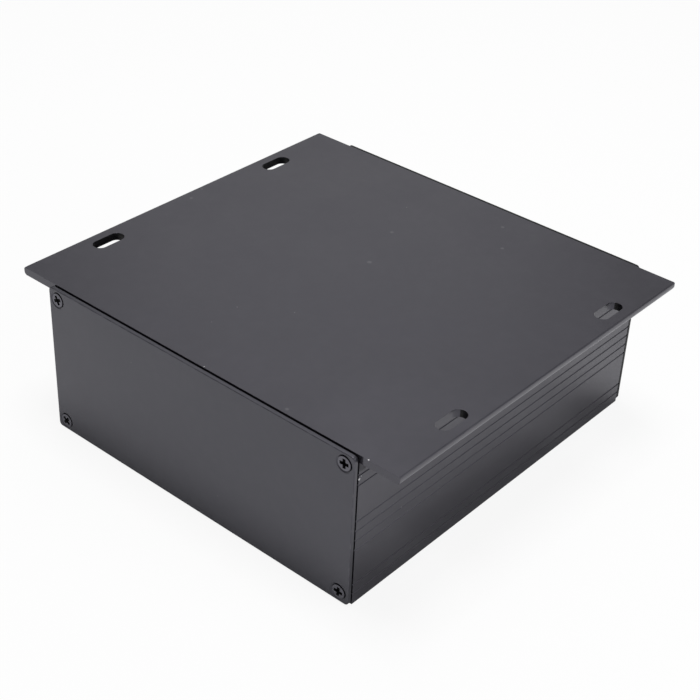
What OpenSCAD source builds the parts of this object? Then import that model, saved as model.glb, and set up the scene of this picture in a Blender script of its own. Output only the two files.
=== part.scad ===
// Wall-mount project box: two interlocking extruded shells closed by two screwed end panels.
// X runs along the extrusion, from the front panel at -X to the rear panel at +X.
// Y runs across the box from flange to flange, and Z points up to the flanged mounting face.
// The origin is the centre of the underside.

/* [Shells] */
// Length of both extruded shells
shell_l = 160; // [90:1:300]
// Width of the box across its side walls
body_w = 145; // [110:1:200]
// Height of the box, underside to mounting face
body_h = 62; // [56:1:90]
// Thickness of the flanged mounting plate
plate_t = 2.4; // [2:0.1:3.5]
// Thickness of the side walls
wall_t = 2; // [1.8:0.1:3]
// Thickness of the lower shell's floor
floor_t = 2; // [1.6:0.1:2.4]
// Radius of the outer edges along the extrusion
edge_r = 0.4; // [0.1:0.1:0.7]

/* [Flanges and slots] */
// Overhang of each flange beyond its side wall
flange_w = 16; // [13:0.5:30]
// Width of a mounting slot
slot_w = 5.8; // [3:0.1:7]
// Length of a mounting slot, end to end
slot_l = 13.8; // [9:0.1:25]
// Distance from a flange's edge to the middle of its slots
slot_edge = 7; // [5:0.5:8]
// Distance from a shell's end to the middle of the nearest slot
slot_end = 34.3; // [14:0.1:40]

/* [Side grooves] */
// Width of a groove in the side walls
groove_w = 0.8; // [0.8:0.1:1.4]
// Depth of a groove
groove_d = 0.3; // [0.15:0.05:0.4]
// Distance between neighbouring grooves
groove_pitch = 4; // [3:0.1:5]
// Number of grooves in the middle group
groove_count = 4; // [2:2:4]
// Distance from the top and bottom of the wall to the middle of the outer groove pairs
groove_edge = 7.1; // [5:0.1:9]
// How far the groove pattern lies below the middle of the wall
groove_drop = 0.4; // [0:0.1:1]

/* [Seam] */
// Height of the lower shell's tongue above the seam
tongue_h = 3.5; // [2.5:0.1:4]
// Thickness of the tongue
tongue_t = 1.2; // [0.8:0.1:1.6]
// Thickness of the upper shell's hooked lip
lip_t = 1.2; // [0.8:0.1:1.6]
// How far the lip reaches down past the tongue's tip
lip_h = 2; // [1:0.1:2.4]
// Height of the shoulder under the tongue
shoulder_h = 2.5; // [1.5:0.1:2.5]
// Clearance around the tongue
tongue_fit = 0.15; // [0.05:0.05:0.3]

/* [Board rails] */
// Gap between two rails, for the edge of a circuit board
board_gap = 2; // [1.2:0.1:2.4]
// Thickness of a rail
rail_t = 1.2; // [0.8:0.1:1.4]
// How far a rail stands out from the wall
rail_d = 2.5; // [1.5:0.1:3.5]
// Number of board slots on each wall of each shell
rail_rows = 2; // [1:1:2]
// Distance between neighbouring board slots
rail_pitch = 9; // [6:0.5:9]
// Distance from the seam up to the upper shell's first board slot
rail_above = 8; // [7.5:0.1:9]
// Distance from the seam down to the lower shell's first board slot
rail_below = 6; // [5.5:0.1:7]

/* [Screw channels] */
// Distance from the side of the box to the screws
screw_side = 4.5; // [4:0.1:6]
// Distance from the mounting face down to the upper screws
screw_top = 4.6; // [4:0.1:6]
// Distance from the underside up to the lower screws
screw_bottom = 4.3; // [4:0.1:6]
// Wall of a screw channel around its bore
channel_wall = 1.5; // [1.2:0.1:2]
// Width of the slit along a screw channel
slit_w = 1.2; // [0.6:0.1:1.6]

/* [End panels] */
// Thickness of an end panel
panel_t = 1.5; // [1:0.1:3]
// How far a panel's side edges lie inside the shells' outline
panel_inset = 0.15; // [0.1:0.05:0.5]
// How far a panel's top and bottom edges lie inside the shells' outline
panel_trim = 0.45; // [0.1:0.05:0.6]
// Radius of a panel's corners
panel_r = 1.5; // [0.5:0.1:4]
// Diameter of a countersink at the panel's face
sink_d = 6.9; // [6.4:0.1:7.2]
// Angle across a countersink
sink_angle = 118; // [100:1:120]
// Gap that the collars hold open between a panel and the shells
panel_gap = 0.55; // [0.2:0.05:1]
// Wall of the collar that pressing the countersink raises on the panel's back
collar_wall = 1.1; // [0.8:0.1:1.4]

/* [Screws] */
// Overall length of a panel screw
screw_l = 10; // [6:0.5:20]
// Diameter of a screw's head
head_d = 5.3; // [5:0.1:5.8]
// Height of the straight rim around a head
rim_h = 0.1; // [0.05:0.05:0.2]
// Diameter of the neck under a head
neck_d = 2.8; // [2.6:0.1:3.2]
// Diameter of the shank
shank_d = 2.4; // [1.8:0.1:2.5]
// Length of the chamfer on a screw's tip
tip_h = 0.5; // [0.2:0.1:0.8]
// Radial room around the neck in the panel's hole
neck_fit = 0.3; // [0.1:0.05:0.4]
// Radial room around the shank in its channel
shank_fit = 0.05; // [0.02:0.01:0.1]
// Radial room between a head's cone and the edge of the hole that it seats on
head_fit = 0.03; // [0.02:0.01:0.1]
// Length of the cross recess across its arms
cross_l = 3.6; // [2.4:0.1:4]
// Width of the arms of the cross
cross_w = 1.2; // [0.6:0.1:1.4]
// Depth of the arms of the cross
cross_depth = 0.5; // [0.3:0.1:0.6]
// Depth of the pointed middle of the cross
cross_point = 1.4; // [1:0.1:1.5]

/* [Hidden] */
$fn = 48;
// Extra length by which a cut passes the face that it opens
over = 1;

// Shell outline
half_w = body_w / 2;
wall_in = half_w - wall_t;
wall_h = body_h - plate_t;
flange_span = body_w + 2 * flange_w;

// Groove pattern, with the seam hidden in the groove just above its middle
groove_mid = wall_h / 2 - groove_drop;
groove_group = wall_h / 2 - groove_edge;
groove_r = (pow(groove_w / 2, 2) + pow(groove_d, 2)) / (2 * groove_d);
groove_rows = concat(
    [for (i = [0 : groove_count - 1]) (i - (groove_count - 1) / 2) * groove_pitch],
    [for (side = [-1, 1], end = [-1, 1]) side * groove_group + end * groove_pitch / 2]
);
seam_z = groove_mid + groove_pitch / 2;

// Interlock at the seam
tongue_out = wall_in - tongue_fit;
tongue_in = tongue_out - tongue_t;
lip_out = tongue_in - tongue_fit;
lip_in = lip_out - lip_t;
hook_z = seam_z + tongue_h + tongue_fit;

// Screw channels
bore_r = shank_d / 2 + shank_fit;
channel_r = bore_r + channel_wall;
screw_y = half_w - screw_side;
screw_low = screw_bottom;
screw_high = body_h - screw_top;

// Panels: the collars round the holes seat a panel on the ends of the screw channels
hole_d = neck_d + 2 * neck_fit;
collar_d = hole_d + 2 * collar_wall;
sink_depth = (sink_d - hole_d) / 2 / tan(sink_angle / 2);
panel_face = shell_l / 2 + panel_gap + panel_t;

// Screws: the cone of a head is steeper than the countersink and seats on the edge of the hole
head_top = sink_depth - (head_d - hole_d) / 2 - head_fit - rim_h;
cone_end = head_top + rim_h + (head_d - neck_d) / 2;
// Angle that each screw's cross has stopped at, for the corners in the order of screw_corners
cross_turns = [40, 5, 65, -3];
screw_corners = [for (z = [screw_low, screw_high], side = [1, -1]) [side * screw_y, z]];

// Rectangle with round corners, centred on the origin
module rounded_rect(w, h, r) {
    square([w - 2 * r, h], center = true);
    square([w, h - 2 * r], center = true);
    for (x = [-1, 1], y = [-1, 1]) translate([x * (w / 2 - r), y * (h / 2 - r)]) circle(r);
}

// Rectangle between two corners
module bar(low, high) {
    translate(low) square(high - low);
}

// The child shape and its mirror image on the other side wall
module both_sides() {
    children();
    mirror([1, 0]) children();
}

// Extrudes a section drawn in Y and Z along the length of the shells
module extrusion() {
    translate([-shell_l / 2, 0, 0]) rotate([90, 0, 90]) linear_extrude(shell_l) children();
}

// Pairs of rails that hold a board's edge, at the given heights
module board_rails(heights) {
    for (z = heights, end = [-1, 1])
        translate([wall_in - rail_d, z + end * (board_gap + rail_t) / 2 - rail_t / 2])
            square([rail_d + wall_t / 2, rail_t]);
}

// Section of the shallow round grooves in one wall's outer face
module grooves() {
    for (row = groove_rows) translate([half_w - groove_d + groove_r, groove_mid + row]) circle(groove_r);
}

// Bore of a screw channel, with the slit that opens it to the inside of the box
module channel_bore(z, angle) {
    translate([screw_y, z]) {
        circle(bore_r);
        rotate(angle) translate([0, -slit_w / 2]) square([channel_r + over, slit_w]);
    }
}

// Section of the upper shell: flanged plate, half walls, screw channels, rails and hooked lips
module upper_section() {
    difference() {
        union() {
            translate([0, body_h - plate_t / 2]) rounded_rect(flange_span, plate_t, edge_r);
            both_sides() {
                bar([wall_in, seam_z], [half_w, body_h - plate_t / 2]);
                translate([screw_y, screw_high]) circle(channel_r);
                bar([screw_y, screw_high], [wall_in + wall_t / 2, body_h - plate_t / 2]);
                bar([lip_in, hook_z], [wall_in + wall_t / 2, hook_z + rail_t]);
                bar([lip_in, hook_z - lip_h], [lip_out, hook_z + rail_t]);
                board_rails([for (i = [0 : rail_rows - 1]) seam_z + rail_above + i * rail_pitch]);
            }
        }
        both_sides() {
            grooves();
            channel_bore(screw_high, 225);
        }
    }
}

// Section of the lower shell: floor, half walls, screw channels, rails and tongues
module lower_section() {
    difference() {
        union() {
            translate([0, floor_t / 2]) rounded_rect(body_w, floor_t, edge_r);
            both_sides() {
                bar([wall_in, floor_t / 2], [half_w, seam_z]);
                translate([screw_y, screw_low]) circle(channel_r);
                bar([screw_y, floor_t / 2], [wall_in + wall_t / 2, screw_low]);
                bar([tongue_in, seam_z - shoulder_h], [tongue_out, seam_z + tongue_h]);
                bar([tongue_in, seam_z - shoulder_h], [wall_in + wall_t / 2, seam_z]);
                board_rails([for (i = [0 : rail_rows - 1]) seam_z - rail_below - i * rail_pitch]);
            }
        }
        both_sides() {
            grooves();
            channel_bore(screw_low, 135);
        }
    }
}

// Cutter for one mounting slot, with round ends along X
module slot_cutter() {
    reach = (slot_l - slot_w) / 2;
    translate([-reach, -slot_w / 2, 0]) cube([2 * reach, slot_w, plate_t + 2 * over]);
    for (end = [-1, 1]) translate([end * reach, 0, 0]) cylinder(h = plate_t + 2 * over, d = slot_w);
}

module upper_shell() {
    color("#3b3b40")
    difference() {
        extrusion() upper_section();
        for (end = [-1, 1], side = [-1, 1])
            translate([end * (shell_l / 2 - slot_end), side * (flange_span / 2 - slot_edge), wall_h - over])
                slot_cutter();
    }
}

module lower_shell() {
    color("#333338") extrusion() lower_section();
}

// End panel lying flat with its face at Z = 0 and its back up, drawn in the box's Y and Z
module panel_blank() {
    difference() {
        union() {
            translate([0, body_h / 2, 0]) linear_extrude(panel_t)
                rounded_rect(body_w - 2 * panel_inset, body_h - 2 * panel_trim, panel_r);
            for (c = screw_corners) translate([c.x, c.y, panel_t / 2])
                cylinder(h = panel_t / 2 + panel_gap, d = collar_d);
        }
        for (c = screw_corners) translate([c.x, c.y, 0]) {
            translate([0, 0, -over]) cylinder(h = panel_t + panel_gap + 2 * over, d = hole_d);
            cylinder(h = sink_depth, d1 = sink_d, d2 = hole_d);
        }
    }
}

// Countersunk screw with its axis along Z, measured from the panel's face into the box
module panel_screw(turn) {
    difference() {
        rotate_extrude() polygon([
            [0, head_top],
            [head_d / 2, head_top],
            [head_d / 2, head_top + rim_h],
            [neck_d / 2, cone_end],
            [shank_d / 2, cone_end],
            [shank_d / 2, screw_l - tip_h],
            [(shank_d - tip_h) / 2, screw_l],
            [0, screw_l]
        ]);
        translate([0, 0, head_top]) rotate(turn) {
            for (a = [0, 90]) rotate(a) translate([-cross_l / 2, -cross_w / 2, -over])
                cube([cross_l, cross_w, cross_depth + over]);
            cylinder(h = cross_point, d1 = 2 * cross_w, d2 = cross_w / 2);
        }
    }
}

// Stands a piece drawn flat against the front of the box
module at_front() {
    translate([-panel_face, 0, 0]) rotate([90, 0, 90]) children();
}

// Stands a piece drawn flat against the rear of the box
module at_rear() {
    mirror([1, 0, 0]) at_front() children();
}

module panel_screws() {
    for (i = [0 : len(screw_corners) - 1])
        translate([screw_corners[i].x, screw_corners[i].y, 0]) panel_screw(cross_turns[i]);
}

module front_panel() {
    color("#3f4044") at_front() panel_blank();
}

module rear_panel() {
    color("#3f4044") at_rear() panel_blank();
}

module front_screws() {
    color("#2a2a2e") at_front() panel_screws();
}

module rear_screws() {
    color("#2a2a2e") at_rear() panel_screws();
}

upper_shell();
lower_shell();
front_panel();
rear_panel();
front_screws();
rear_screws();
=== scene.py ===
"""Looks of the black anodised project box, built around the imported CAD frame."""
import math

import bmesh
import bpy
from mathutils import Matrix, Quaternion, Vector


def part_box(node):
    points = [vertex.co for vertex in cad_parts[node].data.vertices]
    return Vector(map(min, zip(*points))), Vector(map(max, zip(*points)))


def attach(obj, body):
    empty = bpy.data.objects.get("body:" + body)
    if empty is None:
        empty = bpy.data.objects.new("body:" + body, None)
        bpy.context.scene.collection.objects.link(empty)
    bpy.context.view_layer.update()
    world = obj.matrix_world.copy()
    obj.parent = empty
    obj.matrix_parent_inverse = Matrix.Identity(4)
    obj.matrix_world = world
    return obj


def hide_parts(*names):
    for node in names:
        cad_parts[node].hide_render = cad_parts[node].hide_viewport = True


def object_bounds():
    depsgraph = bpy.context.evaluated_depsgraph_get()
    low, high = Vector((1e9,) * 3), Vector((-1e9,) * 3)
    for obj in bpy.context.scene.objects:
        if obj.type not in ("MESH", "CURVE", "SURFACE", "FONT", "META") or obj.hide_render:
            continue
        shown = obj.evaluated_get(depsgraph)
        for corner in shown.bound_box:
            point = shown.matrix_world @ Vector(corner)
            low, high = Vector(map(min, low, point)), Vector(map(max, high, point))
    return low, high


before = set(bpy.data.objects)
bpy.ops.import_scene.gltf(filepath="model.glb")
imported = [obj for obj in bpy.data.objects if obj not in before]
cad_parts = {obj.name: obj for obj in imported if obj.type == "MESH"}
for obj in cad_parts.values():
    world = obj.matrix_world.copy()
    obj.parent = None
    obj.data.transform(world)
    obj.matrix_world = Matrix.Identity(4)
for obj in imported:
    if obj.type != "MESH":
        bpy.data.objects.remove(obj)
cad_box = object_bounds()

MM = 0.001
WHITE = (1.0, 1.0, 1.0, 1.0)

# Camera, at the photograph's viewing angle
LENS_MM = 77.73
SENSOR_MM = 36.0
CAMERA_AT = Vector((-367.2, -303.0, 345.3)) * MM
CAMERA_AIM = Vector((10.6, 8.1, 20.0)) * MM
CAMERA_ROLL = math.radians(2.745)
CLIP_NEAR = 10 * MM
CLIP_FAR = 20.0

# Soft lamps round the box: azimuth from +X towards +Y and elevation in degrees, then distance, width
# and height in metres, and watts
LAMP_AIM = Vector((0, 0, 30)) * MM
LAMPS = {
    "overhead": (0, 90, 1.0, 0.35, 0.35, 6.5),
    "back": (45, 65, 1.0, 0.5, 0.5, 1.3),
    "right": (280, 25, 1.2, 1.2, 0.9, 4.5),
    "sheen": (41, 30, 2.0, 0.85, 0.3, 0.65),
}

# Even surround: its strength, and how far mirrors and lenses see it raised from that to white
AMBIENT = 0.2
WORLD_MIRRORED = 0.15

# Floor: its size, its gap below the box, its colour, and the share of plain white over the lit floor
# that the camera sees, and that mirrors and lenses see
FLOOR_SIZE = 8.0
FLOOR_CELLS = 2
FLOOR_GAP = 0.02 * MM
FLOOR_COLOUR = (0.9, 0.9, 0.9, 1.0)
FLOOR_SEEN = 0.9
FLOOR_MIRRORED = 0.02

# Numbers of the materials in a shell, of which a panel has the first three
BODY = 0
EDGE = 1
RIM = 2
# Material with painted shade
SHADE = 3
GROOVE = 4
CUT = 5
# Number of the recess's material in a screw, which paints shade into the cross
RECESS = 1

# Working of the meshes: how near corners are joined, which angles are flat and which are sharp
WELD = 0.002 * MM
FLAT_ANGLE = math.radians(0.5)
SHARP_ANGLE = math.radians(30)
# How far a face's normal leans along an axis to count as looking that way
FACING = 0.5

# Rounded edges, by width and steps, and the profile that makes them round
SHELL_EDGE = (0.1 * MM, 2)
FLANGE_TOP_EDGE = (0.55 * MM, 4)
FLANGE_LOW_EDGE = (1.3 * MM, 8)
PANEL_EDGE = (0.32 * MM, 4)
BACK_EDGE = (0.1 * MM, 2)
SINK_EDGE = (0.05 * MM, 2)
ROUND = 0.5
# Distance from a screw's axis within which the edges of its countersink lie
SINK_REACH = 4.0 * MM

# Flanges: how far their underside lies below the solid's, the width within which the solid's own outer
# edges lie, and the most that the normal of a slot's upright wall tilts
FLANGED = "upper_shell"
PLAIN = "lower_shell"
FLANGE_EXTRA = 0.7 * MM
FLANGE_BAND = 1.0 * MM
UPRIGHT_TILT = 0.000002

# Grooves at the foot of the walls: the heights between which they lie, their reach into the wall, and
# the least that the normals of their faces tilt
FOOT_GROOVES = (1.0 * MM, 12.0 * MM)
GROOVE_REACH = 0.5 * MM
GROOVE_TILT = 0.05
# How squarely a face at the end of a shell looks along the box to be a saw cut
CUT_FACING = 0.99

# Screws: heights along the axis from the head's top, radii, thread and cross recess
SCREW_SIDES = 40
RIM_H = 0.1 * MM
RIM_ROUND = 0.06 * MM
NECK_R = 1.4 * MM
SHANK_R = 1.2 * MM
THREAD_GAP = 0.1 * MM
THREAD_PITCH = 0.5 * MM
THREAD_DEPTH = 0.22 * MM
THREAD_ROWS = 6
TIP_H = 0.5 * MM
CROSS_ARM = 1.85 * MM
CROSS_HALF = 0.62 * MM
CROSS_ABOVE = 0.5 * MM
CROSS_DEPTH = 1.1 * MM
CROSS_TAPER = 0.7
# Degrees by which each cross is turned, by the sides of the middle on which its screw lies in Y and Z
CROSS_TURNS = {(1, -1): 40, (-1, -1): 5, (1, 1): 65, (-1, 1): -3}

# Colours of the finishes, and of what shows through them or lies on them
SHELL_BLACK = (0.0172, 0.0163, 0.0205, 1.0)
PANEL_BLACK = (0.0165, 0.0165, 0.021, 1.0)
BARE = (0.16, 0.16, 0.175, 1.0)
# Painted highlight on the lower part of a flange's rim
RIM_HIGHLIGHT = (0.125, 0.123, 0.133, 1.0)
CHIPPED = (0.7, 0.7, 0.71, 1.0)
PALE_DUST = (0.45, 0.45, 0.46, 1.0)
SCREW_BLACK = (0.026, 0.025, 0.03, 1.0)
SCREW_RUBBED = (0.052, 0.05, 0.06, 1.0)
# Painted shade for slots, the rear panel's edges and cross recesses
SHADE_BLACK = (0.003, 0.003, 0.004, 1.0)
SHADE_PALE = (0.008, 0.008, 0.01, 1.0)

# Refraction of the hard oxide layer, of the duller layer in the foot grooves, of the screws' plating and
# of recesses, and the cool tint that layers and plating give to reflections
OXIDE_IOR = 1.75
GROOVE_IOR = 1.55
PLATING_IOR = 2.1
RECESS_IOR = 1.35
COOL = (0.875, 0.86, 1.0, 1.0)

# Anodising: its roughness by place, how far mottling moves roughness and tone, and how strong the lines
# along the extrusion are
SATIN = 0.33
GROOVE_SATIN = 0.4
CUT_SATIN = 0.13
SATIN_SPREAD = 0.03
TONE_SPREAD = 0.06
DRAWN = 0.35

# Noises, by scale per millimetre and detail, and the stretch of those that run along one axis
MOTTLE = (0.03, 3.0)
CLOUD = (0.25, 2.0)
GRAIN = (7.0, 2.0)
LINES = (1.0, 4.0)
LINES_STRETCH = (0.006, 2.6, 2.6)
EDGE_RUB = (0.35, 4.0)
RIM_STREAKS = (1.0, 3.0)
RIM_STRETCH = (0.05, 0.4, 0.4)
SCREW_RUB = (1.3, 3.0)
SCREW_GRAIN = (9.0, 2.0)
MILL = (1.5, 3.0)
MILL_STRETCH = (1.0, 1.0, 6.0)
RAGGED = (2.5, 2.0)
SPECK_SCALE = 0.1

# Ramps: two levels of a noise, and the shares or the roughness to which they lead
MOTTLE_LEVELS = (0.3, 0.7)
CLOUD_SHARE = (0.4, 0.75, 0.0, 0.03)
GRAIN_SHARE = (0.55, 0.8, 0.0, 0.06)
SPECK_SHARE = (0.012, 0.024, 0.55, 0.0)
DUST_SHARE = (0.0, 1.0, 0.0, 0.11)
EDGE_SHARE = (0.45, 0.75, 0.0, 0.4)
EDGE_SATIN = (0.4, 0.8, 0.36, 0.26)
RIM_SHARE = (0.35, 0.7, 0.75, 1.0)
RIM_SATIN = (0.3, 0.7, 0.35, 0.3)
SCREW_SHARE = (0.45, 0.7, 0.0, 1.0)
SCREW_SATIN = (0.3, 0.7, 0.42, 0.34)
MILL_SHARE = (0.35, 0.7, 0.0, 1.0)
MILL_SATIN = (0.3, 0.7, 0.55, 0.45)
# Ramp over the height of a flange's rim, in millimetres, from its black top to its side with the painted
# highlight
HIGHLIGHT_LEVELS = (61.2, 59.9, 0.0, 1.0)

# Bumps, by height and strength
LINES_HEIGHT = 0.02 * MM
GRAIN_BUMP = (0.012 * MM, 0.5)
EDGE_BUMP = (0.01 * MM, 0.4)
MILL_BUMP = (0.02 * MM, 0.4)

# Bare chips and pale dust, by place and radius in millimetres
CHIPS = [
    (-80.0, -75.9, 62.0, 0.35),
    (-79.7, -72.5, 52.4, 0.5),
    (-78.8, -72.5, 53.2, 0.2),
    (-79.5, -4.0, 62.0, 0.22),
]
DUST = [
    (34.8, 10.0, 62.0, 0.9),
    (11.4, 1.4, 62.0, 1.1),
    (-78.0, -40.0, 62.0, 0.8),
    (55.0, -27.8, 62.0, 0.8),
    (68.6, -18.0, 62.0, 0.8),
    (-0.4, 84.0, 62.0, 0.8),
]
# How many radii from its middle, raggedness added, a mark begins to fade and has gone
MARK_FADES = 1.1
MARK_GONE = 1.5


class Nodes:
    """Adds linked nodes to the tree of one new material."""

    def __init__(self, name):
        self.material = bpy.data.materials.new(name)
        self.material.use_nodes = True
        self.tree = self.material.node_tree
        self.shader = self.tree.nodes["Principled BSDF"]

    def feed(self, node, inputs):
        """Sets or links a node's inputs by name or number."""
        for socket, value in inputs.items():
            if isinstance(value, bpy.types.NodeSocket):
                self.tree.links.new(value, node.inputs[socket])
            else:
                node.inputs[socket].default_value = value

    def add(self, kind, inputs, output=0, **settings):
        """A new node's output."""
        node = self.tree.nodes.new("ShaderNode" + kind)
        for name, value in settings.items():
            setattr(node, name, value)
        self.feed(node, inputs)
        return node.outputs[output]

    def place_mm(self):
        """Position on the object in millimetres."""
        place = self.add("TexCoord", {}, "Object")
        return self.stretched(place, (1 / MM,) * 3)

    def stretched(self, vector, scale):
        """A position scaled along each axis."""
        return self.add("Mapping", {"Vector": vector, "Scale": scale})

    def noise(self, vector, scale, detail):
        """Smooth noise between 0 and 1."""
        return self.add("TexNoise", {"Vector": vector, "Scale": scale, "Detail": detail})

    def ramp(self, value, low, high, to_low, to_high):
        """A value's range low to high, mapped to another range."""
        inputs = {"Value": value, 1: low, 2: high, 3: to_low, 4: to_high}
        return self.add("MapRange", inputs)

    def mix(self, share, a, b):
        """Two colours mixed by the share of the second."""
        return self.add("MixRGB", {"Fac": share, "Color1": a, "Color2": b})

    def marks(self, place, spots):
        """Share of ragged spots, each given by its place and radius in millimetres."""
        ragged = self.noise(place, *RAGGED)
        total = None
        for x, y, z, radius in spots:
            gap = self.add("VectorMath", {0: place, 1: (x, y, z)}, "Value", operation="DISTANCE")
            rough = self.add("Math", {0: ragged, 1: radius, 2: gap}, operation="MULTIPLY_ADD")
            share = self.ramp(rough, MARK_FADES * radius, MARK_GONE * radius, 1.0, 0.0)
            if total is None:
                total = share
            else:
                total = self.add("Math", {0: total, 1: share}, operation="MAXIMUM")
        return total

    def bump(self, height, distance, strength, normal=None):
        """A normal bent by a height."""
        inputs = {"Height": height, "Distance": distance, "Strength": strength}
        if normal is not None:
            inputs["Normal"] = normal
        return self.add("Bump", inputs)

    def finished(self, tone, roughness, normal, ior, tint=COOL):
        """The material, with these set or linked on its shader."""
        self.feed(self.shader, {"Base Color": tone, "Roughness": roughness, "Normal": normal})
        self.feed(self.shader, {"IOR": ior, "Specular Tint": tint})
        return self.material


def shaded(colour, factor):
    """A colour made darker or paler."""
    return tuple(factor * part for part in colour[:3]) + colour[3:]


def anodised(name, colour, roughness, drawn=0.0, ior=OXIDE_IOR):
    """Satin black anodised aluminium. Drawn is how strong the lines along the extrusion are."""
    n = Nodes(name)
    place = n.place_mm()
    mottle = n.noise(place, *MOTTLE)
    cloud = n.noise(place, *CLOUD)
    grain = n.noise(place, *GRAIN)
    lines = n.noise(n.stretched(place, LINES_STRETCH), *LINES)
    speck = n.add("TexVoronoi", {"Vector": place, "Scale": SPECK_SCALE}, "Distance")

    deep = shaded(colour, 1 - TONE_SPREAD)
    pale = shaded(colour, 1 + TONE_SPREAD)
    tone = n.mix(n.ramp(mottle, *MOTTLE_LEVELS, 0.0, 1.0), deep, pale)
    tone = n.mix(n.ramp(cloud, *CLOUD_SHARE), tone, BARE)
    tone = n.mix(n.ramp(grain, *GRAIN_SHARE), tone, BARE)
    tone = n.mix(n.ramp(speck, *SPECK_SHARE), tone, PALE_DUST)
    tone = n.mix(n.ramp(n.marks(place, DUST), *DUST_SHARE), tone, PALE_DUST)
    tone = n.mix(n.marks(place, CHIPS), tone, CHIPPED)

    satin = n.ramp(mottle, *MOTTLE_LEVELS, roughness - SATIN_SPREAD, roughness + SATIN_SPREAD)
    normal = n.bump(lines, LINES_HEIGHT, drawn)
    normal = n.bump(grain, *GRAIN_BUMP, normal)
    return n.finished(tone, satin, normal, ior)


def worn_edge(name):
    """Anodising rubbed thin along an edge."""
    n = Nodes(name)
    place = n.place_mm()
    rub = n.noise(place, *EDGE_RUB)
    tone = n.mix(n.ramp(rub, *EDGE_SHARE), SHELL_BLACK, BARE)
    tone = n.mix(n.marks(place, CHIPS), tone, CHIPPED)
    normal = n.bump(n.noise(place, *GRAIN), *EDGE_BUMP)
    return n.finished(tone, n.ramp(rub, *EDGE_SATIN), normal, OXIDE_IOR)


def highlit_rim(name):
    """Anodising of a flange's rim with a painted highlight, paler below its top and streaked by noise."""
    n = Nodes(name)
    place = n.place_mm()
    level = n.add("SeparateXYZ", {"Vector": place}, "Z")
    rub = n.noise(n.stretched(place, RIM_STRETCH), *RIM_STREAKS)
    # Painted highlight: a streaked pale tone that takes over below the rim's top
    highlight = n.mix(n.ramp(rub, *RIM_SHARE), SHELL_BLACK, RIM_HIGHLIGHT)
    tone = n.mix(n.ramp(level, *HIGHLIGHT_LEVELS), SHELL_BLACK, highlight)
    normal = n.bump(n.noise(place, *GRAIN), *EDGE_BUMP)
    return n.finished(tone, n.ramp(rub, *RIM_SATIN), normal, OXIDE_IOR)


def blackened(name):
    """Black plating of a steel screw, rubbed a little where a driver turns it."""
    n = Nodes(name)
    place = n.place_mm()
    rub = n.noise(place, *SCREW_RUB)
    tone = n.mix(n.ramp(rub, *SCREW_SHARE), SCREW_BLACK, SCREW_RUBBED)
    normal = n.bump(n.noise(place, *SCREW_GRAIN), *EDGE_BUMP)
    return n.finished(tone, n.ramp(rub, *SCREW_SATIN), normal, PLATING_IOR)


def painted_shade(name):
    """Painted shade: near-black with streaks of noise, for the slots' inner walls, the rear panel's edges
    and the screws' cross recesses.
    """
    n = Nodes(name)
    mill = n.noise(n.stretched(n.place_mm(), MILL_STRETCH), *MILL)
    tone = n.mix(n.ramp(mill, *MILL_SHARE), SHADE_BLACK, SHADE_PALE)
    normal = n.bump(mill, *MILL_BUMP)
    return n.finished(tone, n.ramp(mill, *MILL_SATIN), normal, RECESS_IOR, WHITE)


def in_scene(name, data):
    """A new object of that data, in the scene."""
    obj = bpy.data.objects.new(name, data)
    bpy.context.scene.collection.objects.link(obj)
    return obj


def mesh_data(name, mesh):
    """Mesh data from a worked mesh, which is freed."""
    data = bpy.data.meshes.new(name)
    mesh.to_mesh(data)
    mesh.free()
    return data


def finished_piece(node, mesh, materials):
    """The piece that stands for a CAD node, smooth shaded, with normals that keep the flats flat."""
    data = mesh_data(node, mesh)
    for material in materials:
        data.materials.append(material)
    data.polygons.foreach_set("use_smooth", [True] * len(data.polygons))
    piece = in_scene(node + "_finish", data)
    normals = piece.modifiers.new("normals", "WEIGHTED_NORMAL")
    normals.keep_sharp = True
    return piece


def welded(node):
    """A CAD node's mesh with its corners joined up and its flats whole."""
    mesh = bmesh.new()
    mesh.from_mesh(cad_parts[node].data)
    bmesh.ops.remove_doubles(mesh, verts=mesh.verts, dist=WELD)
    bmesh.ops.dissolve_limit(mesh, angle_limit=FLAT_ANGLE, verts=mesh.verts, edges=mesh.edges)
    return mesh


def solids(node):
    """The lowest and highest corner of each separate solid in a CAD node, in order of Y and Z."""
    mesh = welded(node)
    waiting = set(mesh.verts)
    boxes = []
    while waiting:
        found = [waiting.pop()]
        for vert in found:
            near = {edge.other_vert(vert) for edge in vert.link_edges} & waiting
            waiting -= near
            found.extend(near)
        spans = [[vert.co[axis] for vert in found] for axis in range(3)]
        boxes.append((Vector(map(min, spans)), Vector(map(max, spans))))
    mesh.free()
    return sorted(boxes, key=lambda box: (box[0].y, box[0].z))


def round_over(mesh, rounding, chosen, material=EDGE):
    """Rounds the chosen sharp outer edges of a mesh, with the material of that number on the new faces."""
    def is_sharp(edge):
        return edge.is_manifold and edge.calc_face_angle_signed() > SHARP_ANGLE

    width, steps = rounding
    edges = [edge for edge in mesh.edges if is_sharp(edge) and chosen(edge)]
    bmesh.ops.bevel(
        mesh, geom=edges, offset=width, offset_type="OFFSET", segments=steps, profile=ROUND,
        affect="EDGES", clamp_overlap=True, material=material,
    )


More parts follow.
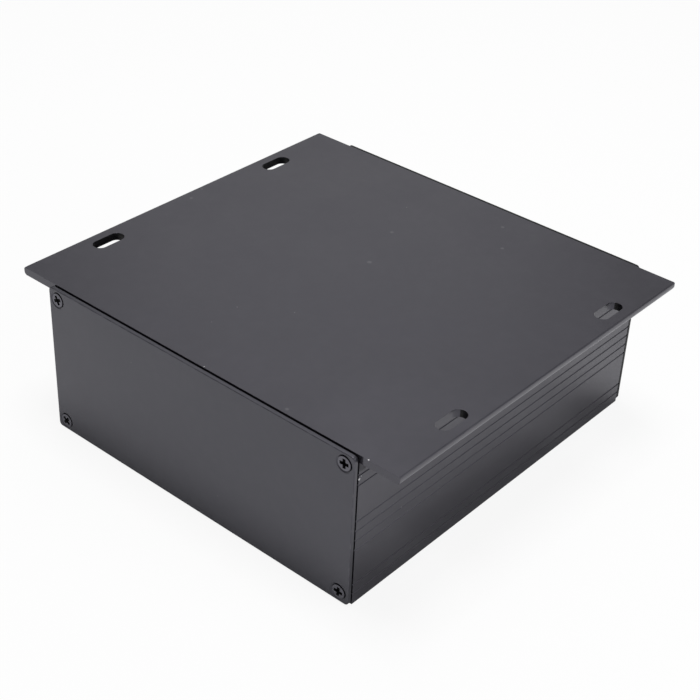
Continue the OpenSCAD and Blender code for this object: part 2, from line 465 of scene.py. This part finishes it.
def thicken_flanges(mesh, node, wall):
    """Lowers the flanges' underside outside the walls, rounds their outer edges anew and paints shade on
    the slots' walls.
    """
    end, outermost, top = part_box(node)[1]
    under = min(vert.co.z for vert in mesh.verts if abs(vert.co.y) > wall + WELD)
    low = under - FLANGE_EXTRA
    for vert in mesh.verts:
        at = vert.co
        if abs(at.y) > wall - WELD and at.z > under - WELD:
            at.z = top if at.z > (top + under) / 2 else low
            if abs(at.y) > outermost - FLANGE_BAND:
                at.y = math.copysign(outermost, at.y)
    bmesh.ops.remove_doubles(mesh, verts=mesh.verts, dist=WELD)

    def along(height, side):
        """Whether an edge runs along the outside of one flange at that height."""
        def runs(edge):
            ends = [vert.co for vert in edge.verts]
            return all(abs(at.z - height) < WELD and side * at.y > outermost - WELD for at in ends)
        return runs

    for side in (-1, 1):
        round_over(mesh, FLANGE_TOP_EDGE, along(top, side), BODY)
        round_over(mesh, FLANGE_LOW_EDGE, along(low, side), RIM)
    for face in mesh.faces:
        at = face.calc_center_median()
        in_flange = wall < abs(at.y) < outermost and abs(at.x) < end - FLANGE_BAND
        looks_out = face.normal.y * math.copysign(1, at.y) >= FACING
        # The outer rim takes the painted highlight, and the slots' upright walls that face inwards take
        # painted shade
        if abs(at.y) > outermost - WELD:
            face.material_index = RIM
        elif in_flange and abs(face.normal.z) < UPRIGHT_TILT and not looks_out:
            face.material_index = SHADE


def shell_piece(node, materials):
    """A shell with its sharp edges rounded over, smoother saw cuts and duller foot grooves."""
    mesh = welded(node)
    end, wall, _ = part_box(PLAIN)[1]
    if node == FLANGED:
        thicken_flanges(mesh, node, wall)
    round_over(mesh, SHELL_EDGE, lambda edge: True)
    low, high = FOOT_GROOVES
    for face in mesh.faces:
        at = face.calc_center_median()
        outside = abs(at.y) > wall - GROOVE_REACH
        if abs(face.normal.x) > CUT_FACING and abs(at.x) > end - WELD:
            face.material_index = CUT
        elif low < at.z < high and outside and abs(face.normal.z) > GROOVE_TILT:
            face.material_index = GROOVE
    return finished_piece(node, mesh, materials)


def panel_piece(node, screws, inward, materials):
    """A punched panel with its face's outline rolled over and its back and countersinks left crisp."""
    mesh = welded(node)
    axes = [(low + high) / 2 for low, high in solids(screws)]
    face = min(inward * vert.co.x for vert in mesh.verts)

    def at_screw(edge):
        middle = (edge.verts[0].co + edge.verts[1].co) / 2
        return any((middle - axis).yz.length < SINK_REACH for axis in axes)

    def on_face(edge):
        return all(inward * vert.co.x - face < WELD for vert in edge.verts)

    round_over(mesh, PANEL_EDGE, lambda edge: on_face(edge) and not at_screw(edge))
    round_over(mesh, BACK_EDGE, lambda edge: not on_face(edge) and not at_screw(edge))
    round_over(mesh, SINK_EDGE, at_screw)
    for side in mesh.faces:
        if abs(side.normal.x) < FACING and not any(at_screw(edge) for edge in side.edges):
            side.material_index = RIM
    return finished_piece(node, mesh, materials)


def close_up(mesh, rings):
    """Adds the faces of a closed solid to rings of equally many corners."""
    mesh.faces.new(reversed(rings[0]))
    mesh.faces.new(rings[-1])
    for low, high in zip(rings, rings[1:]):
        for i in range(len(low)):
            j = (i + 1) % len(low)
            mesh.faces.new((low[i], low[j], high[j], high[i]))


def revolved(rows):
    """A closed solid of rings around Z, each row a radius by angle and a height."""
    mesh = bmesh.new()
    angles = [math.tau * i / SCREW_SIDES for i in range(SCREW_SIDES)]
    rings = []
    for radius, z in rows:
        ring = []
        for angle in angles:
            out = radius(angle)
            ring.append(mesh.verts.new((out * math.cos(angle), out * math.sin(angle), z)))
        rings.append(ring)
    close_up(mesh, rings)
    return mesh


def even_row(radius, z):
    """A row with the same radius all round."""
    return (lambda angle: radius), z


def thread_rows(start, end):
    """Rows of a shank with a V thread that fades out at both ends."""
    step = THREAD_PITCH / THREAD_ROWS
    count = round((end - start) / step)

    def row(i):
        z = start + (end - start) * i / count
        fade = min(1.0, min(z - start, end - z) / THREAD_PITCH)

        def radius(angle):
            turn = (z / THREAD_PITCH - angle / math.tau) % 1.0
            return SHANK_R - THREAD_DEPTH * fade * (1.0 - abs(2.0 * turn - 1.0))

        return radius, z

    return [row(i) for i in range(count + 1)]


def screw_solid(head_r, length):
    """A countersunk screw without its recess, with its head's top at Z = 0 and its tip at Z = length."""
    neck = RIM_H + (head_r - NECK_R)
    shank = neck + (NECK_R - SHANK_R)
    rows = [
        even_row(head_r - RIM_ROUND, 0.0),
        even_row(head_r, RIM_ROUND),
        even_row(head_r, RIM_H),
        even_row(NECK_R, neck),
        even_row(SHANK_R, shank),
    ]
    rows += thread_rows(shank + THREAD_GAP, length - TIP_H)
    rows.append(even_row(SHANK_R - TIP_H / 2, length))
    return revolved(rows)


def cross_cutter():
    """A tapered cross to be cut from a head's top, with the recess's material of painted shade."""
    mesh = bmesh.new()
    levels = ((-CROSS_ABOVE, 1.0), (0.0, 1.0), (CROSS_DEPTH, CROSS_TAPER))
    for turn in (0, math.pi / 2):
        spin = Matrix.Rotation(turn, 3, "Z")
        rings = []
        for z, share in levels:
            arm = share * CROSS_ARM
            half = share * CROSS_HALF
            corners = ((-arm, -half), (arm, -half), (arm, half), (-arm, half))
            rings.append([mesh.verts.new(spin @ Vector((x, y, z))) for x, y in corners])
        close_up(mesh, rings)
    for face in mesh.faces:
        face.material_index = RECESS
    return mesh


def screw_mesh(head_r, length, materials):
    """One finished screw as mesh data."""
    parts = []
    for label, mesh in (("screw", screw_solid(head_r, length)), ("cross", cross_cutter())):
        bmesh.ops.recalc_face_normals(mesh, faces=mesh.faces)
        data = mesh_data(label, mesh)
        for material in materials:
            data.materials.append(material)
        parts.append(in_scene(label, data))
    screw, cross = parts
    cut = screw.modifiers.new("cut", "BOOLEAN")
    cut.object = cross
    cut.solver = "EXACT"
    cut.use_self = True
    made = bpy.data.meshes.new_from_object(screw.evaluated_get(bpy.context.evaluated_depsgraph_get()))
    for obj in parts:
        bpy.data.objects.remove(obj)
    return made


def screw_group(node, inward, materials):
    """All screws of one panel as one piece. Inward is the sign of X that points into the box."""
    group = bmesh.new()
    boxes = solids(node)
    middle = sum(low.z + high.z for low, high in boxes) / (2 * len(boxes))
    low, high = boxes[0]
    one = screw_mesh((high.y - low.y) / 2, high.x - low.x, materials)
    for low, high in boxes:
        y = (low.y + high.y) / 2
        z = (low.z + high.z) / 2
        sides = (1 if y > 0 else -1, 1 if z > middle else -1)
        face = low.x if inward > 0 else high.x
        axes = Matrix(((0, 0, inward, face), (1, 0, 0, y), (0, 1, 0, z), (0, 0, 0, 1)))
        spin = Matrix.Rotation(math.radians(CROSS_TURNS[sides]), 4, "Z")
        first = len(group.verts)
        group.from_mesh(one)
        group.verts.ensure_lookup_table()
        bmesh.ops.transform(group, matrix=axes @ spin, verts=group.verts[first:])
    bmesh.ops.recalc_face_normals(group, faces=group.faces)
    bpy.data.meshes.remove(one)
    piece = finished_piece(node, group, materials)
    piece.data.set_sharp_from_angle(angle=SHARP_ANGLE)
    return piece


def dress(piece, node):
    """Puts a finished piece in place of its CAD node."""
    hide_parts(node)
    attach(piece, "root")


shell_finish = anodised("shell_anodised", SHELL_BLACK, SATIN, DRAWN)
panel_finish = anodised("panel_anodised", PANEL_BLACK, SATIN)
groove_finish = anodised("groove_anodised", SHELL_BLACK, GROOVE_SATIN, ior=GROOVE_IOR)
cut_finish = anodised("cut_anodised", SHELL_BLACK, CUT_SATIN)
edge_finish = worn_edge("edge_anodised")
rim_highlight_finish = highlit_rim("rim_painted_highlight")
screw_finish = blackened("screw_black")
shade_finish = painted_shade("painted_shade")

shell_finishes = [shell_finish, edge_finish, rim_highlight_finish, shade_finish, groove_finish, cut_finish]
for shell in (FLANGED, PLAIN):
    dress(shell_piece(shell, shell_finishes), shell)
# The rear panel's side faces take painted shade; the front panel's keep its own anodising
for panel, screws, inward, side_finish in (
    ("front_panel", "front_screws", 1, panel_finish),
    ("rear_panel", "rear_screws", -1, shade_finish),
):
    dress(panel_piece(panel, screws, inward, [panel_finish, edge_finish, side_finish]), panel)
    dress(screw_group(screws, inward, [screw_finish, shade_finish]), screws)


def background_share(nodes, links, seen, mirrored):
    """Share of plain white for the rays that see the background, straight or in a mirror or lens."""
    path = nodes.new("ShaderNodeLightPath")
    shares = {"Is Camera Ray": seen, "Is Glossy Ray": mirrored, "Is Transmission Ray": mirrored}
    total = None
    for ray, share in shares.items():
        term = nodes.new("ShaderNodeMath")
        term.operation = "MULTIPLY_ADD"
        links.new(path.outputs[ray], term.inputs[0])
        term.inputs[1].default_value = share
        term.inputs[2].default_value = 0.0
        if total is not None:
            links.new(total, term.inputs[2])
        total = term.outputs[0]
    return total


def pale_floor(height):
    """A plain pale floor that renders white away from the object and keeps its shadow."""
    mesh = bmesh.new()
    bmesh.ops.create_grid(mesh, x_segments=FLOOR_CELLS, y_segments=FLOOR_CELLS, size=FLOOR_SIZE / 2)
    floor = in_scene("floor", mesh_data("floor", mesh))
    floor.location.z = height
    material = bpy.data.materials.new("pale_floor")
    material.use_nodes = True
    nodes = material.node_tree.nodes
    links = material.node_tree.links
    nodes.clear()
    diffuse = nodes.new("ShaderNodeBsdfDiffuse")
    diffuse.inputs["Color"].default_value = FLOOR_COLOUR
    white = nodes.new("ShaderNodeEmission")
    mix = nodes.new("ShaderNodeMixShader")
    links.new(background_share(nodes, links, FLOOR_SEEN, FLOOR_MIRRORED), mix.inputs["Fac"])
    links.new(diffuse.outputs[0], mix.inputs[1])
    links.new(white.outputs[0], mix.inputs[2])
    out = nodes.new("ShaderNodeOutputMaterial")
    links.new(mix.outputs[0], out.inputs["Surface"])
    floor.data.materials.append(material)


def studio_world():
    """An even surround, which shows white behind the object."""
    world = bpy.data.worlds.new("studio")
    bpy.context.scene.world = world
    world.use_nodes = True
    nodes = world.node_tree.nodes
    links = world.node_tree.links
    background = nodes["Background"]
    strength = nodes.new("ShaderNodeMapRange")
    links.new(background_share(nodes, links, 1.0, WORLD_MIRRORED), strength.inputs["Value"])
    strength.inputs["To Min"].default_value = AMBIENT
    strength.inputs["To Max"].default_value = 1.0
    links.new(strength.outputs[0], background.inputs["Strength"])
    background.inputs["Color"].default_value = WHITE


def softbox(name, azimuth, elevation, reach, width, height, watts):
    """A soft lamp that faces the box."""
    lamp = bpy.data.lights.new(name, "AREA")
    lamp.shape = "RECTANGLE"
    lamp.size = width
    lamp.size_y = height
    lamp.energy = watts
    turn = math.radians(azimuth)
    rise = math.radians(elevation)
    away = Vector((math.cos(turn) * math.cos(rise), math.sin(turn) * math.cos(rise), math.sin(rise)))
    obj = in_scene(name, lamp)
    obj.location = LAMP_AIM + reach * away
    obj.rotation_euler = (-away).to_track_quat("-Z", "Y").to_euler()


pale_floor(cad_box[0].z - FLOOR_GAP)
studio_world()
for lamp_name, setting in LAMPS.items():
    softbox(lamp_name, *setting)

camera = in_scene("camera", bpy.data.cameras.new("camera"))
camera.data.lens = LENS_MM
camera.data.sensor_width = SENSOR_MM
camera.data.clip_start = CLIP_NEAR
camera.data.clip_end = CLIP_FAR
camera.location = CAMERA_AT
camera.rotation_mode = "QUATERNION"
look = (CAMERA_AIM - CAMERA_AT).to_track_quat("-Z", "Y")
camera.rotation_quaternion = look @ Quaternion((0, 0, 1), CAMERA_ROLL)
bpy.context.scene.camera = camera
bpy.context.scene.view_settings.view_transform = "Standard"
